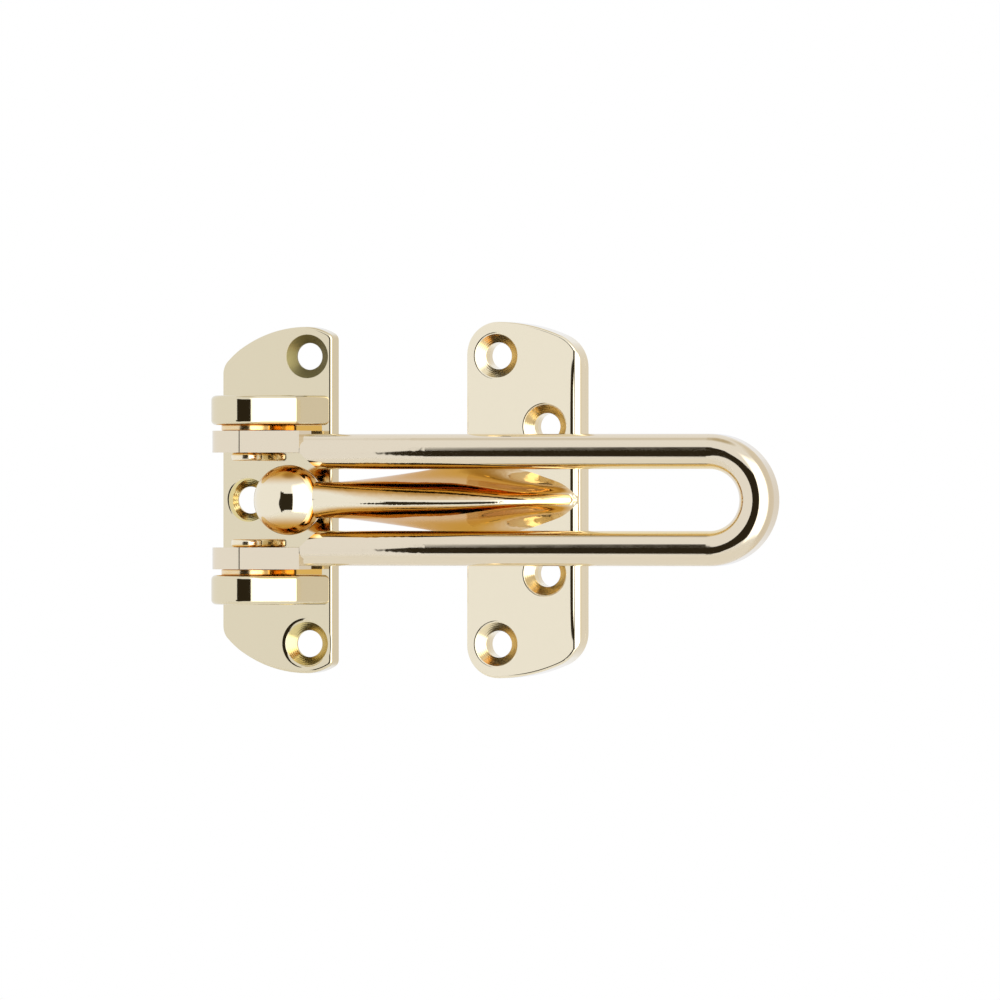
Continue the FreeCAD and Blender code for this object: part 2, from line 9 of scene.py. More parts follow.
import bmesh
import bpy
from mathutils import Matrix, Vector


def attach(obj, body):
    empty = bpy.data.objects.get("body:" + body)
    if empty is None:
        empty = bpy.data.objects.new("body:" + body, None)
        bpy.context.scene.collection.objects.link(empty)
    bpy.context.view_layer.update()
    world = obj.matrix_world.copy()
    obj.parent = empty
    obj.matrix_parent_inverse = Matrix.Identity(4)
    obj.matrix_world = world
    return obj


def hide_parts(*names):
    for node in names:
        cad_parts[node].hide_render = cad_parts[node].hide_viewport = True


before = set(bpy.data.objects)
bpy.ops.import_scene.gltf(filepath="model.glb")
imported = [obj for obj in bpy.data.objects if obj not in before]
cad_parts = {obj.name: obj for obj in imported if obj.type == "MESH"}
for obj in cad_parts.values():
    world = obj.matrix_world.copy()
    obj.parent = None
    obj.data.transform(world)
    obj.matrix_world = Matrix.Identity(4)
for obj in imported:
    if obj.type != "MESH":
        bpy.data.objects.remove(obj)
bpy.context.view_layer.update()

LOG = logging.getLogger("door_guard")
MM = 0.001

Tree = bpy.types.NodeTree
Socket = bpy.types.NodeSocket


class Body(Enum):
    """The bodies that a piece can ride on."""

    PLATES = "plates"
    BAR = "bar"


class Slot(Enum):
    """The record's material slots."""

    POLISHED = "polished_brass"
    HARDWARE = "hinge_hardware"


# Colour and nodes

def linear(hex_colour: str) -> tuple[float, float, float, float]:
    """Turn an sRGB hex colour into linear light, by the sRGB standard's own curve.

    Args:
        hex_colour: Six hex digits after a hash sign.

    Returns:
        Red, green, blue and an alpha of one.
    """
    digits = hex_colour.lstrip("#")
    shares = [int(digits[place:place + 2], 16) / 255.0 for place in (0, 2, 4)]
    red, green, blue = (
        share / 12.92 if share <= 0.04045 else ((share + 0.055) / 1.055) ** 2.4 for share in shares)
    return red, green, blue, 1.0


def add_node(tree: Tree, kind: str, inputs: Optional[dict[Any, Any]] = None,
             **settings: Any) -> bpy.types.Node:
    """Add one node with its settings, socket values and links.

    Args:
        tree: Node tree that gets the node.
        kind: Blender's name for the kind of node.
        inputs: Socket name or number to a value, or to an output socket that is linked to it.
        settings: Properties of the node.

    Returns:
        The new node.
    """
    item = tree.nodes.new(kind)
    for name, value in settings.items():
        setattr(item, name, value)
    for key, value in (inputs or {}).items():
        if isinstance(value, Socket):
            tree.links.new(value, item.inputs[key])
        else:
            item.inputs[key].default_value = value
    return item


# Finishes

@dataclass(frozen=True)
class ScrewHole:
    """A countersunk screw hole and its mirror image below, by the place on its plate."""

    across: float
    rise: float


@dataclass(frozen=True)
class Coat:
    """The sockets that a finish has come to so far."""

    colour: Socket
    roughness: Socket
    normal: Socket


@dataclass(frozen=True)
class PolishedBrass:
    """Cast brass, buffed to a mirror and lacquered, with countersinks left as the drill cut them.

    To the eye: crisp, faintly wavy reflections on the open faces, which are a pale gold, and a painted
    deeper gold reflection in the tight corners, inside the slot and in the gaps, for the gold that these
    faces mirror back and forth; satin, finely ringed gold in the countersinks, dull olive in any above
    one height, and a dull, grainy back that stays as it was cast.
    """

    name: str
    # Open faces
    open_colour: str = "#F8EBCD"
    roughness: float = 0.05
    haze_spread: float = 0.02
    haze_size: float = 2.5 * MM
    haze_detail: float = 3.0
    haze_low: float = 0.3
    haze_high: float = 0.7
    wave_size: float = 9.0 * MM
    wave_detail: float = 1.0
    wave_height: float = 0.0015 * MM
    # Painted reflection in the tight corners: a deeper gold for the gold they mirror, by the share of open
    # air around a point
    corner_reflection_colour: str = "#EDBE62"
    corner_reach: float = 4.0 * MM
    corner_start: float = 0.5
    corner_full: float = 0.2
    corner_samples: int = 8
    # Painted reflection inside the slot: a deeper gold for the gold its faces mirror, by how far a face
    # looks up or down
    slot_reflection_colour: str = "#E3B35A"
    slot_half_height: float = 9.0 * MM
    slot_start: float = 0.6
    slot_full: float = 0.9
    # Painted reflection on the strips of a plate in the gaps between its ears and the bar's tabs, in the
    # slot's colour
    gap_low: float = 0.0
    gap_high: float = 0.0
    gap_right: float = 0.0
    gap_edge: float = 0.15 * MM
    # Countersinks, whose fine drill rings are drawn coarser than real ones so that they show
    sink_colour: str = "#F7E6BC"
    sink_roughness: float = 0.16
    sink_radius: float = 4.1 * MM
    sink_edge: float = 0.1 * MM
    ring_pitch: float = 0.3 * MM
    ring_height: float = 0.002 * MM
    # Countersinks in dull olive, from this height upwards
    olive_sink_colour: str = "#8A8055"
    olive_sink_roughness: float = 0.42
    olive_above: Optional[float] = None
    # Lip of a countersink, dubbed over by the buffing wheel
    lip_width: float = 0.3 * MM
    lip_drop: float = 0.1 * MM
    # Right edge of a plate, rolled over along its middle
    roll_start: float = 0.0
    roll_end: float = 0.0
    roll_drop: float = 0.12 * MM
    roll_full: float = 16.0 * MM
    roll_reach: float = 27.0 * MM
    # Fronts start this far from the mounting plane
    front_depth: float = 1.9 * MM
    # As-cast back, which ends this far from the mounting plane
    back_depth: float = 0.05 * MM
    back_colour: str = "#E4D2A6"
    back_roughness: float = 0.36
    grain_size: float = 0.5 * MM
    grain_detail: float = 3.0
    grain_height: float = 0.008 * MM
    holes: tuple[ScrewHole, ...] = ()

    def is_front(self, tree: Tree, place: Socket) -> Socket:
        """Add nodes that give one on the front of a plate and nought near its back."""
        along = add_node(tree, "ShaderNodeSeparateXYZ", {"Vector": place}).outputs["Y"]
        return add_node(tree, "ShaderNodeMath", {
            0: along, 1: -self.front_depth}, operation="LESS_THAN").outputs[0]

    def roll_share(self, tree: Tree, place: Socket) -> Socket:
        """Add nodes for how far the front rolls over towards its right edge, less towards the ends.

        Args:
            tree: Node tree of the material.
            place: Object coordinates.

        Returns:
            Nought on the flat and one at the edge.
        """
        parts = add_node(tree, "ShaderNodeSeparateXYZ", {"Vector": place}).outputs
        rise = add_node(tree, "ShaderNodeMath", {0: parts["Z"]}, operation="ABSOLUTE").outputs[0]
        taper = add_node(tree, "ShaderNodeMapRange", {
            "Value": rise, "From Min": self.roll_reach, "From Max": self.roll_full,
            "To Min": 0.0, "To Max": self.is_front(tree, place)}).outputs["Result"]
        share = add_node(tree, "ShaderNodeMapRange", {
            "Value": parts["X"], "From Min": self.roll_start, "From Max": self.roll_end,
            "To Min": 0.0, "To Max": 1.0}).outputs["Result"]
        square = add_node(tree, "ShaderNodeMath", {0: share, 1: share}, operation="MULTIPLY").outputs[0]
        return add_node(tree, "ShaderNodeMath", {0: square, 1: taper}, operation="MULTIPLY").outputs[0]

    def gap_reflection_share(self, tree: Tree, place: Socket, distance: Socket) -> Socket:
        """Add nodes for the painted reflection on the strips of a plate in the gaps between its ears and the
        bar's tabs.

        Args:
            tree: Node tree of the material.
            place: Object coordinates.
            distance: Height above or below the middle.

        Returns:
            Nought outside a strip and one in it.
        """
        band = self.is_front(tree, place)
        for start, full in ((self.gap_low - self.gap_edge, self.gap_low),
                            (self.gap_high + self.gap_edge, self.gap_high)):
            share = add_node(tree, "ShaderNodeMapRange", {
                "Value": distance, "From Min": start, "From Max": full,
                "To Min": 0.0, "To Max": 1.0}).outputs["Result"]
            band = add_node(tree, "ShaderNodeMath", {0: band, 1: share}, operation="MULTIPLY").outputs[0]
        across = add_node(tree, "ShaderNodeSeparateXYZ", {"Vector": place}).outputs["X"]
        left_of = add_node(tree, "ShaderNodeMath", {
            0: across, 1: self.gap_right}, operation="LESS_THAN").outputs[0]
        return add_node(tree, "ShaderNodeMath", {0: band, 1: left_of}, operation="MULTIPLY").outputs[0]

    def slot_reflection_share(self, tree: Tree, place: Socket) -> Socket:
        """Add nodes for the painted reflection on the faces inside the slot, which look up or down, and on
        the strips in the gaps.

        Args:
            tree: Node tree of the material.
            place: Object coordinates.

        Returns:
            Nought for an open face and one for a face inside the slot or a gap.
        """
        rise = add_node(tree, "ShaderNodeSeparateXYZ", {"Vector": place}).outputs["Z"]
        distance = add_node(tree, "ShaderNodeMath", {0: rise}, operation="ABSOLUTE").outputs[0]
        inside = add_node(tree, "ShaderNodeMath", {
            0: distance, 1: self.slot_half_height}, operation="LESS_THAN").outputs[0]
        facing = add_node(tree, "ShaderNodeNewGeometry").outputs["Normal"]
        upright = add_node(tree, "ShaderNodeSeparateXYZ", {"Vector": facing}).outputs["Z"]
        level = add_node(tree, "ShaderNodeMath", {0: upright}, operation="ABSOLUTE").outputs[0]
        share = add_node(tree, "ShaderNodeMapRange", {
            "Value": level, "From Min": self.slot_start, "From Max": self.slot_full,
            "To Min": 0.0, "To Max": 1.0}, interpolation_type="SMOOTHSTEP").outputs["Result"]
        slot = add_node(tree, "ShaderNodeMath", {0: inside, 1: share}, operation="MULTIPLY").outputs[0]
        if self.gap_high <= self.gap_low:
            return slot
        gap = self.gap_reflection_share(tree, place, distance)
        return add_node(tree, "ShaderNodeMath", {0: slot, 1: gap}, operation="MAXIMUM").outputs[0]

    def nearest_hole(self, tree: Tree, place: Socket) -> Socket:
        """Add nodes for the distance to the axis of the nearest screw hole.

        Args:
            tree: Node tree of the material.
            place: Object coordinates.

        Returns:
            The distance in metres.
        """
        parts = add_node(tree, "ShaderNodeSeparateXYZ", {"Vector": place}).outputs
        rise = add_node(tree, "ShaderNodeMath", {0: parts["Z"]}, operation="ABSOLUTE").outputs[0]
        mirrored = add_node(tree, "ShaderNodeCombineXYZ", {"X": parts["X"], "Z": rise}).outputs["Vector"]
        nearest = None
        for hole in self.holes:
            distance = add_node(tree, "ShaderNodeVectorMath", {
                0: mirrored, 1: (hole.across, 0.0, hole.rise)}, operation="DISTANCE").outputs["Value"]
            if nearest is None:
                nearest = distance
                continue
            nearest = add_node(tree, "ShaderNodeMath", {
                0: nearest, 1: distance}, operation="MINIMUM").outputs[0]
        return nearest

    def olive_share(self, tree: Tree, place: Socket) -> Union[float, Socket]:
        """Add nodes for the countersinks in dull olive, from one height upwards.

        Args:
            tree: Node tree of the material.
            place: Object coordinates.

        Returns:
            One above that height, and nought below it.
        """
        if self.olive_above is None:
            return 0.0
        rise = add_node(tree, "ShaderNodeSeparateXYZ", {"Vector": place}).outputs["Z"]
        return add_node(tree, "ShaderNodeMath", {
            0: rise, 1: self.olive_above}, operation="GREATER_THAN").outputs[0]

    def buff(self, tree: Tree, place: Socket) -> Coat:
        """Add nodes for the buffed faces, open or sheltered, with the painted deeper gold reflection.

        Args:
            tree: Node tree of the material.
            place: Object coordinates.

        Returns:
            The coat of the buffed faces.
        """
        haze = add_node(tree, "ShaderNodeTexNoise", {
            "Vector": place, "Scale": 1.0 / self.haze_size, "Detail": self.haze_detail}).outputs["Fac"]
        roughness = add_node(tree, "ShaderNodeMapRange", {
            "Value": haze, "From Min": self.haze_low, "From Max": self.haze_high,
            "To Min": self.roughness, "To Max": self.roughness + self.haze_spread}).outputs["Result"]
        wave = add_node(tree, "ShaderNodeTexNoise", {
            "Vector": place, "Scale": 1.0 / self.wave_size, "Detail": self.wave_detail}).outputs["Fac"]
        normal = add_node(tree, "ShaderNodeBump", {
            "Height": wave, "Strength": 1.0, "Distance": self.wave_height}).outputs["Normal"]
        # Painted reflection: deeper gold in the tight corners, by ambient occlusion
        shelter = add_node(tree, "ShaderNodeAmbientOcclusion", {
            "Distance": self.corner_reach}, samples=self.corner_samples).outputs["AO"]
        corner = add_node(tree, "ShaderNodeMapRange", {
            "Value": shelter, "From Min": self.corner_start, "From Max": self.corner_full,
            "To Min": 0.0, "To Max": 1.0}, interpolation_type="SMOOTHSTEP").outputs["Result"]
        colour = add_node(tree, "ShaderNodeMix", {
            "Factor": corner, "A": linear(self.open_colour), "B": linear(self.corner_reflection_colour)},
            data_type="RGBA").outputs["Result"]
        # Painted reflection: deeper gold inside the slot and on the gap strips
        colour = add_node(tree, "ShaderNodeMix", {
            "Factor": self.slot_reflection_share(tree, place), "A": colour, "B": linear(self.slot_reflection_colour)},
            data_type="RGBA").outputs["Result"]
        return Coat(colour, roughness, normal)

    def countersink(self, tree: Tree, place: Socket, coat: Coat) -> Coat:
        """Add nodes for the countersinks and their lips.

        Args:
            tree: Node tree of the material.
            place: Object coordinates.
            coat: Coat so far.

        Returns:
            The coat with the countersinks.
        """
        front = self.is_front(tree, place)
        distance = self.nearest_hole(tree, place)
        olive = self.olive_share(tree, place)

        # Lip around the countersink, which a dull olive one doesn't have
        lip = add_node(tree, "ShaderNodeMapRange", {
            "Value": distance, "From Min": self.sink_radius + self.lip_width,
            "From Max": self.sink_radius, "To Min": 0.0, "To Max": front}).outputs["Result"]
        with_lip = add_node(tree, "ShaderNodeMath", {0: 1.0, 1: olive}, operation="SUBTRACT").outputs[0]
        square = add_node(tree, "ShaderNodeMath", {0: lip, 1: lip}, operation="MULTIPLY").outputs[0]
        dubbed = add_node(tree, "ShaderNodeMath", {0: square, 1: with_lip}, operation="MULTIPLY").outputs[0]
        normal = add_node(tree, "ShaderNodeBump", {
            "Height": dubbed, "Strength": 1.0, "Distance": self.lip_drop,
            "Normal": coat.normal}, invert=True).outputs["Normal"]

        # Rings of the drill
        sink = add_node(tree, "ShaderNodeMapRange", {
            "Value": distance, "From Min": self.sink_radius,
            "From Max": self.sink_radius - self.sink_edge,
            "To Min": 0.0, "To Max": front}).outputs["Result"]
        turns = add_node(tree, "ShaderNodeMath", {
            0: distance, 1: math.tau / self.ring_pitch}, operation="MULTIPLY").outputs[0]
        rings = add_node(tree, "ShaderNodeMath", {0: turns}, operation="SINE").outputs[0]
        groove = add_node(tree, "ShaderNodeMath", {0: rings, 1: sink}, operation="MULTIPLY").outputs[0]
        normal = add_node(tree, "ShaderNodeBump", {
            "Height": groove, "Strength": 1.0, "Distance": self.ring_height,
            "Normal": normal}).outputs["Normal"]

        # Satin gold, or dull olive above one height
        dullness = add_node(tree, "ShaderNodeMix", {
            "Factor": olive, "A": self.sink_roughness, "B": self.olive_sink_roughness},
            data_type="FLOAT").outputs["Result"]
        tint = add_node(tree, "ShaderNodeMix", {
            "Factor": olive, "A": linear(self.sink_colour), "B": linear(self.olive_sink_colour)},
            data_type="RGBA").outputs["Result"]
        roughness = add_node(tree, "ShaderNodeMix", {
            "Factor": sink, "A": coat.roughness, "B": dullness}, data_type="FLOAT").outputs["Result"]
        colour = add_node(tree, "ShaderNodeMix", {
            "Factor": sink, "A": coat.colour, "B": tint}, data_type="RGBA").outputs["Result"]
        return Coat(colour, roughness, normal)

    def roll_edge(self, tree: Tree, place: Socket, coat: Coat) -> Coat:
        """Add nodes that roll the right edge of a plate over."""
        normal = add_node(tree, "ShaderNodeBump", {
            "Height": self.roll_share(tree, place), "Strength": 1.0, "Distance": self.roll_drop,
            "Normal": coat.normal}, invert=True).outputs["Normal"]
        return replace(coat, normal=normal)

    def leave_back(self, tree: Tree, place: Socket, coat: Coat) -> Coat:
        """Add nodes for the back, which stays as it was cast.

        Args:
            tree: Node tree of the material.
            place: Object coordinates.
            coat: Coat so far.

        Returns:
            The coat with the back.
        """
        along = add_node(tree, "ShaderNodeSeparateXYZ", {"Vector": place}).outputs["Y"]
        back = add_node(tree, "ShaderNodeMath", {
            0: along, 1: -self.back_depth}, operation="GREATER_THAN").outputs[0]
        grain = add_node(tree, "ShaderNodeTexNoise", {
            "Vector": place, "Scale": 1.0 / self.grain_size, "Detail": self.grain_detail}).outputs["Fac"]
        cast = add_node(tree, "ShaderNodeMath", {0: grain, 1: back}, operation="MULTIPLY").outputs[0]
        normal = add_node(tree, "ShaderNodeBump", {
            "Height": cast, "Strength": 1.0, "Distance": self.grain_height,
            "Normal": coat.normal}).outputs["Normal"]
        roughness = add_node(tree, "ShaderNodeMix", {
            "Factor": back, "A": coat.roughness, "B": self.back_roughness},
            data_type="FLOAT").outputs["Result"]
        colour = add_node(tree, "ShaderNodeMix", {
            "Factor": back, "A": coat.colour, "B": linear(self.back_colour)},
            data_type="RGBA").outputs["Result"]
        return Coat(colour, roughness, normal)

    def build(self) -> bpy.types.Material:
        """Build the node material.

        Returns:
            The new material.
        """
        material = bpy.data.materials.new(self.name)
        material.use_nodes = True
        tree = material.node_tree
        tree.nodes.clear()
        place = add_node(tree, "ShaderNodeTexCoord").outputs["Object"]
        coat = self.buff(tree, place)
        if self.holes:
            coat = self.countersink(tree, place, coat)
        if self.roll_end > self.roll_start:
            coat = self.roll_edge(tree, place, coat)
        coat = self.leave_back(tree, place, coat)
        shader = add_node(tree, "ShaderNodeBsdfPrincipled", {
            "Base Color": coat.colour, "Metallic": 1.0, "Roughness": coat.roughness,
            "Normal": coat.normal})
        add_node(tree, "ShaderNodeOutputMaterial", {"Surface": shader.outputs["BSDF"]})
        return material


# Studio

@dataclass(frozen=True)
class TentPanel:
    """A patch of the light tent: its edges in degrees from straight ahead and from level, and its light."""

    left: float
    right: float
    low: float
    high: float
    soft_edge: float
    colour: str
    strength: float = 1.0
    bow: float = 0.0
    bow_height: float = 0.0

    def bowed(self, tree: Tree, azimuth: Socket, height: Socket) -> Socket:
        """Add nodes that bow the left edge, inwards or outwards away from one height.

        Args:
            tree: Node tree of the world.
            azimuth: Angle from straight ahead of the plates, in radians.
            height: Angle above level, in radians.

        Returns:
            The azimuth less the bow at this height.
        """
        away = add_node(tree, "ShaderNodeMath", {
            0: height, 1: math.radians(self.bow_height)}, operation="SUBTRACT").outputs[0]
        share = add_node(tree, "ShaderNodeMath", {
            0: away, 1: math.radians(self.high - self.bow_height)}, operation="DIVIDE").outputs[0]
        square = add_node(tree, "ShaderNodeMath", {0: share, 1: share}, operation="MULTIPLY").outputs[0]
        shift = add_node(tree, "ShaderNodeMath", {
            0: square, 1: math.radians(self.bow)}, operation="MULTIPLY").outputs[0]
        return add_node(tree, "ShaderNodeMath", {0: azimuth, 1: shift}, operation="SUBTRACT").outputs[0]

    def cover(self, tree: Tree, azimuth: Socket, height: Socket, under: Socket) -> Socket:
        """Add nodes that lay this patch over the tent so far.

        Args:
            tree: Node tree of the world.
            azimuth: Angle from straight ahead of the plates, in radians.
            height: Angle above level, in radians.
            under: Colour of the tent so far.

        Returns:
            The colour with this patch on it.
        """
        inside = None
        for angle, edge, turn in (
                (self.bowed(tree, azimuth, height), self.left, 1.0), (azimuth, self.right, -1.0),
                (height, self.low, 1.0), (height, self.high, -1.0)):
            margin = turn * math.radians(self.soft_edge)
            share = add_node(tree, "ShaderNodeMapRange", {
                "Value": angle, "From Min": math.radians(edge) - margin,
                "From Max": math.radians(edge) + margin, "To Min": 0.0, "To Max": 1.0},
                interpolation_type="SMOOTHSTEP").outputs["Result"]
            if inside is None:
                inside = share
                continue
            inside = add_node(tree, "ShaderNodeMath", {
                0: inside, 1: share}, operation="MULTIPLY").outputs[0]
        red, green, blue, _ = linear(self.colour)
        light = (red * self.strength, green * self.strength, blue * self.strength, 1.0)
        return add_node(tree, "ShaderNodeMix", {
            "Factor": inside, "A": under, "B": light}, data_type="RGBA").outputs["Result"]


SOFTBOX_WHITE = "#FFFFFF"
TENT_END_GREY = "#E2DDD6"
OPEN_END_TAN = "#C4B9A2"
WINDOW_DARK = "#2E281D"
# A little over half a turn, so that a patch all round the tent has no left or right edge
ALL_ROUND = 181.0
# A little over a right angle, so that a patch at the top or bottom closes over it
PAST_UPRIGHT = 95.0
TENT_PANELS = (
    # Softbox on the right of the camera, and the dimmer end of the tent behind it
    TentPanel(left=33.0, right=96.0, low=-42.0, high=46.0, soft_edge=9.0, colour=SOFTBOX_WHITE,
              strength=2.3),
    TentPanel(left=100.0, right=175.0, low=-60.0, high=60.0, soft_edge=12.0, colour=TENT_END_GREY),
    # Open top of the tent and the table below it
    TentPanel(left=-ALL_ROUND, right=ALL_ROUND, low=76.0, high=PAST_UPRIGHT, soft_edge=8.0,
              colour=OPEN_END_TAN),
    TentPanel(left=-ALL_ROUND, right=ALL_ROUND, low=-PAST_UPRIGHT, high=-76.0, soft_edge=8.0,
              colour=OPEN_END_TAN),
    # Window that the camera looks through, and the gap at its left that narrows to a point
    TentPanel(left=-11.1, right=31.0, low=-33.0, high=21.0, soft_edge=0.6, colour=WINDOW_DARK,
              bow=1.15, bow_height=-14.0),
    TentPanel(left=-16.2, right=-10.0, low=-34.0, high=6.0, soft_edge=0.6, colour=WINDOW_DARK,
              bow=4.3, bow_height=-15.0),
    # Tall, narrow gap along the window's left edge, which widens the stripes towards the bar's bend,
    # and a shorter, softer one beside it, which eases them into the bend
    TentPanel(left=-11.3, right=-8.0, low=-40.0, high=28.0, soft_edge=0.4, colour=WINDOW_DARK,
              bow=-1.06),
    TentPanel(left=-9.0, right=0.0, low=-36.0, high=25.0, soft_edge=1.5, colour=WINDOW_DARK),
)


@dataclass
class Studio:
    """White light tent with a dark camera window, a pale floor below and the photograph's camera."""

    azimuth: float = math.radians(17.0)
    lens: float = 600.0
    sensor: float = 36.0
    frame_width: float = 185.0 * MM
    target: tuple[float, float, float] = (38.4 * MM, -7.0 * MM, 0.0)
    sight_reach: float = 20.0
    tent_colour: str = "#F3F6FE"
    ground_colour: str = "#FFFFFF"
    panels: tuple[TentPanel, ...] = TENT_PANELS
    floor_drop: float = 150.0 * MM
    floor_reach: float = 230.0 * MM
    floor_clear: float = 120.0 * MM
    floor_colour: str = "#F4F4F2"

    def build_camera(self) -> None:
        """Add the camera at the photograph's viewing angle."""
        sight = Vector((-math.sin(self.azimuth), math.cos(self.azimuth), 0.0))
        data = bpy.data.cameras.new("camera")
        data.lens = self.lens
        data.sensor_width = self.sensor
        data.clip_end = self.sight_reach
        camera = bpy.data.objects.new("camera", data)
        bpy.context.scene.collection.objects.link(camera)
        distance = self.frame_width * self.lens / self.sensor
        camera.location = Vector(self.target) - sight * distance
        camera.rotation_euler = sight.to_track_quat("-Z", "Y").to_euler()
        bpy.context.scene.camera = camera

    def build_world(self) -> None:
        """Make the tent, pale all round with its panels, and white to the camera itself."""
        world = bpy.data.worlds.new("light_tent")
        bpy.context.scene.world = world
        world.use_nodes = True
        tree = world.node_tree
        tree.nodes.clear()
        way = add_node(tree, "ShaderNodeTexCoord").outputs["Generated"]
        parts = add_node(tree, "ShaderNodeSeparateXYZ", {"Vector": way}).outputs
        front = add_node(tree, "ShaderNodeMath", {0: parts["Y"], 1: -1.0}, operation="MULTIPLY").outputs[0]
        azimuth = add_node(tree, "ShaderNodeMath", {0: parts["X"], 1: front}, operation="ARCTAN2").outputs[0]
        height = add_node(tree, "ShaderNodeMath", {0: parts["Z"]}, operation="ARCSINE").outputs[0]
        light = add_node(tree, "ShaderNodeRGB").outputs["Color"]
        light.default_value = linear(self.tent_colour)
        for panel in self.panels:
            light = panel.cover(tree, azimuth, height, light)
        from_camera = add_node(tree, "ShaderNodeLightPath").outputs["Is Camera Ray"]
        seen = add_node(tree, "ShaderNodeMix", {
            "Factor": from_camera, "A": light, "B": linear(self.ground_colour)},
            data_type="RGBA").outputs["Result"]
        background = add_node(tree, "ShaderNodeBackground", {"Color": seen, "Strength": 1.0})
        add_node(tree, "ShaderNodeOutputWorld", {"Surface": background.outputs["Background"]})

    def floor_paint(self, centre: tuple[float, float, float]) -> bpy.types.Material:
        """Build the floor's matt paint, which looks pale and even and clears towards the floor's rim.

        Args:
            centre: Middle of the floor.

        Returns:
            The new material.
        """
        material = bpy.data.materials.new("painted_floor")
        material.use_nodes = True
        tree = material.node_tree
        tree.nodes.clear()
        place = add_node(tree, "ShaderNodeTexCoord").outputs["Object"]
        reach = add_node(tree, "ShaderNodeVectorMath", {
            0: place, 1: centre}, operation="DISTANCE").outputs["Value"]
        fade = add_node(tree, "ShaderNodeMapRange", {
            "Value": reach, "From Min": self.floor_clear, "From Max": self.floor_reach,
            "To Min": 0.0, "To Max": 1.0}, interpolation_type="SMOOTHSTEP").outputs["Result"]
        paint = add_node(tree, "ShaderNodeBsdfDiffuse", {"Color": linear(self.floor_colour)})
        clear = add_node(tree, "ShaderNodeBsdfTransparent")
        mixed = add_node(tree, "ShaderNodeMixShader", {
            "Fac": fade, 1: paint.outputs["BSDF"], 2: clear.outputs["BSDF"]})
        add_node(tree, "ShaderNodeOutputMaterial", {"Surface": mixed.outputs["Shader"]})
        return material

    def build_floor(self) -> None:
        """Lay a pale floor below the part, which fades out before it reaches the camera's window."""
        middle_across, middle_along, _ = self.target
        height = -self.floor_drop
        corners = [(-1.0, -1.0), (1.0, -1.0), (1.0, 1.0), (-1.0, 1.0)]
        mesh = bpy.data.meshes.new("floor")
        mesh.from_pydata(
            [(middle_across + across * self.floor_reach, middle_along + along * self.floor_reach, height)
             for across, along in corners], [], [(0, 1, 2, 3)])
        floor = bpy.data.objects.new("floor", mesh)
        bpy.context.scene.collection.objects.link(floor)
        mesh.materials.append(self.floor_paint((middle_across, middle_along, height)))

    def build(self) -> None:
        """Build the tent, the floor and the camera, and set the plain view transform."""
        bpy.context.scene.view_settings.view_transform = "Standard"
        self.build_world()
        self.build_floor()
        self.build_camera()


# Castings

@dataclass
class Casting:
    """A casting of the guard that keeps its solid's shape and gets its finish here."""

    node: str
    body: Body
    open_colour: str
    # Colour of the painted reflection inside the slot
    slot_reflection_colour: str

    def finish(self) -> PolishedBrass:
        """Choose the finish that all castings share, in this one's colours."""
        return PolishedBrass(
            name=f"{Slot.POLISHED.value}_{self.node}", open_colour=self.open_colour,
            slot_reflection_colour=self.slot_reflection_colour)

    def dress(self) -> None:
        """Give the casting its finish."""
        finish = self.finish()
        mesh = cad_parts[self.node].data
        mesh.materials.clear()
        mesh.materials.append(finish.build())
        LOG.info("dressed %s, of the body %s, in %s", self.node, self.body.value, finish.name)


@dataclass
class HingeBase(Casting):
    """The plate with two hinge ears, and its three countersunk holes."""

    node: str = "hinge_base"
    body: Body = Body.PLATES
    open_colour: str = "#E7DAB9"
    # Painted reflection inside the slot
    slot_reflection_colour: str = "#E3B35A"
    end_hole: ScrewHole = ScrewHole(across=0.0, rise=26.7 * MM)
    middle_hole: ScrewHole = ScrewHole(across=-11.5 * MM, rise=0.0)
    sink_colour: str = "#E6D394"
    olive_above: float = 10.0 * MM
    lip_width: float = 0.8 * MM
    lip_drop: float = 0.22 * MM
    gap_low: float = 12.8 * MM
    gap_high: float = 13.8 * MM
    gap_right: float = 2.9 * MM

    def finish(self) -> PolishedBrass:
        """Choose the finish, with a greyer gold in the countersinks, the upper one dull olive, and the
        painted deeper gold reflection on the gap strips.
        """
        return replace(
            super().finish(), name="polished_brass_base", sink_colour=self.sink_colour,
            olive_above=self.olive_above, lip_width=self.lip_width, lip_drop=self.lip_drop,
            gap_low=self.gap_low, gap_high=self.gap_high, gap_right=self.gap_right,
            holes=(self.end_hole, self.middle_hole))


@dataclass
class Keeper(Casting):
    """The plate with the ball-ended horn, and its four countersunk holes."""

    node: str = "keeper"
    body: Body = Body.PLATES
    open_colour: str = "#F6EACD"
    # Painted reflection inside the slot
    slot_reflection_colour: str = "#CF983C"
    outer_hole: ScrewHole = ScrewHole(across=37.3 * MM, rise=26.7 * MM)
    inner_hole: ScrewHole = ScrewHole(across=46.7 * MM, rise=13.6 * MM)
    slot_start: float = 0.4
    slot_full: float = 0.75
    roll_start: float = 51.5 * MM
    roll_end: float = 52.25 * MM

    def finish(self) -> PolishedBrass:
        """Choose the finish, with the painted deep gold reflection on more of the horn and the plate's right
        edge rolled over.
        """
        return replace(
            super().finish(), slot_start=self.slot_start, slot_full=self.slot_full,
            roll_start=self.roll_start, roll_end=self.roll_end,
            holes=(self.outer_hole, self.inner_hole))


@dataclass
class SwingBar(Casting):
    """The U-shaped bar with a hinge tab at the end of each leg."""

    node: str = "swing_bar"
    body: Body = Body.BAR
    open_colour: str = "#ECDEC3"
    # Painted reflection inside the slot
    slot_reflection_colour: str = "#F2DDAC"


# Hinge hardware

@dataclass(frozen=True)
class TurnedRing:
    """A ring or disc turned about the hinge axis, by its radii and its reach above the middle."""

    inner: float
    outer: float
    low: float
    high: float
    edge_round: float


